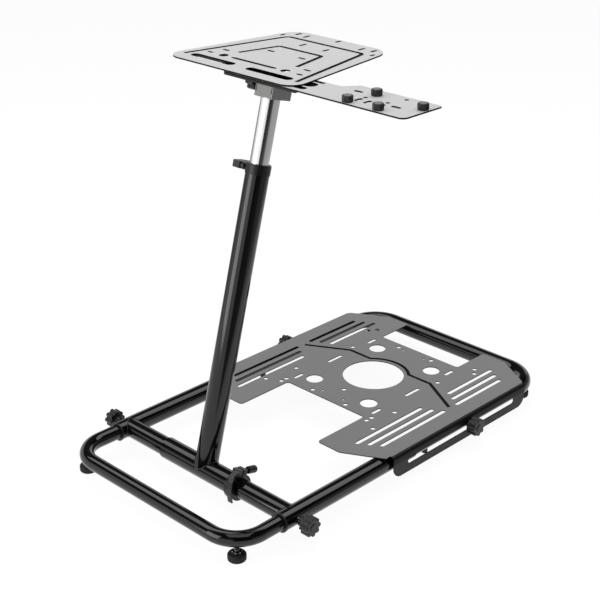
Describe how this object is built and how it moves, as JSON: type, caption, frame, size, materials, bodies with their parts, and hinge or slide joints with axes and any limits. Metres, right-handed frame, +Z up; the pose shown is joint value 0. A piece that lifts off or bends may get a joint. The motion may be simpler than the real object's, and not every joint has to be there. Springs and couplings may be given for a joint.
{
  "type": "racing wheel stand",
  "caption": "Folding tube stand with a slotted pedal plate between two rails, a leaning telescopic mast, a wheel plate and a side shifter plate.",
  "frame": {"origin": "on the floor under the middle of the whole outline; the stand's own middle plane is at x = -0.05925", "axes": "+X to the driver's right, +Y from the driver to the pedals, +Z up"},
  "size_m": [0.7304, 0.9778, 0.8668],
  "materials": {
    "gloss_black": "gloss",
    "satin_grey": "satin",
    "pale_grey": "satin",
    "chrome_tube": "polished",
    "silver_block": "brushed",
    "dark_steel": "satin",
    "black_plastic": "matte",
    "foot_rubber": "matte",
    "zinc_steel": "satin"
  },
  "bodies": {
    "base_frame": {"rail_right": "gloss_black", "rail_left": "gloss_black", "crossbar": "gloss_black", "rear_loop": "gloss_black", "rear_link_right": "gloss_black", "rear_link_left": "gloss_black", "rail_bush_right": "black_plastic", "rail_bush_left": "black_plastic", "foot_rear_right": "foot_rubber", "foot_rear_left": "foot_rubber", "knob_front_right": "black_plastic", "knob_front_left": "black_plastic", "knob_pedal_right": "black_plastic", "knob_pedal_left": "black_plastic"},
    "front_end": {"front_loop": "gloss_black", "foot_front_right": "foot_rubber", "foot_front_left": "foot_rubber"},
    "mast": {"mast_sleeve": "gloss_black", "mast_tube": "gloss_black", "mast_bush": "black_plastic", "height_clamp": "dark_steel", "height_lever": "black_plastic", "pivot_clamp": "dark_steel", "pivot_lever": "black_plastic"},
    "mast_post": {"mast_inner": "chrome_tube", "inner_guide": "black_plastic", "head_block": "silver_block"},
    "head": {"tilt_knob": "black_plastic", "head_bracket": "dark_steel", "head_spacer": "dark_steel", "wheel_plate": "pale_grey", "slide_bolt_1": "zinc_steel", "slide_bolt_2": "zinc_steel", "slide_bolt_3": "zinc_steel", "slide_bolt_4": "zinc_steel"},
    "shifter": {"shifter_plate": "pale_grey", "thumb_knob_1": "black_plastic", "thumb_knob_2": "black_plastic", "thumb_knob_3": "black_plastic", "thumb_knob_4": "black_plastic"},
    "pedals": {"pedal_plate": "satin_grey"}
  },
  "joints": [
    {"name": "front_reach", "type": "slide", "parent": "base_frame", "child": "front_end", "axis": [0, 1, 0], "range_m": [-0.1, 0.03]},
    {"name": "pedal_slide", "type": "slide", "parent": "base_frame", "child": "pedals", "axis": [0, 1, 0], "range_m": [-0.15, 0.14]},
    {"name": "mast_tilt", "type": "hinge", "parent": "base_frame", "child": "mast", "pos_m": [-0.05925, -0.3269, 0.0455], "axis": [-1, 0, 0], "range_deg": [-15, 45]},
    {"name": "mast_height", "type": "slide", "parent": "mast", "child": "mast_post", "axis": [0, 0.2563, 0.9666], "range_m": [-0.12, 0.1]},
    {"name": "head_tilt", "type": "hinge", "parent": "mast_post", "child": "head", "pos_m": [-0.05925, -0.12494, 0.80718], "axis": [-1, 0, 0], "range_deg": [-15, 15]},
    {"name": "shifter_slide", "type": "slide", "parent": "head", "child": "shifter", "axis": [1, 0, 0], "range_m": [-0.025, 0.04]}
  ]
}
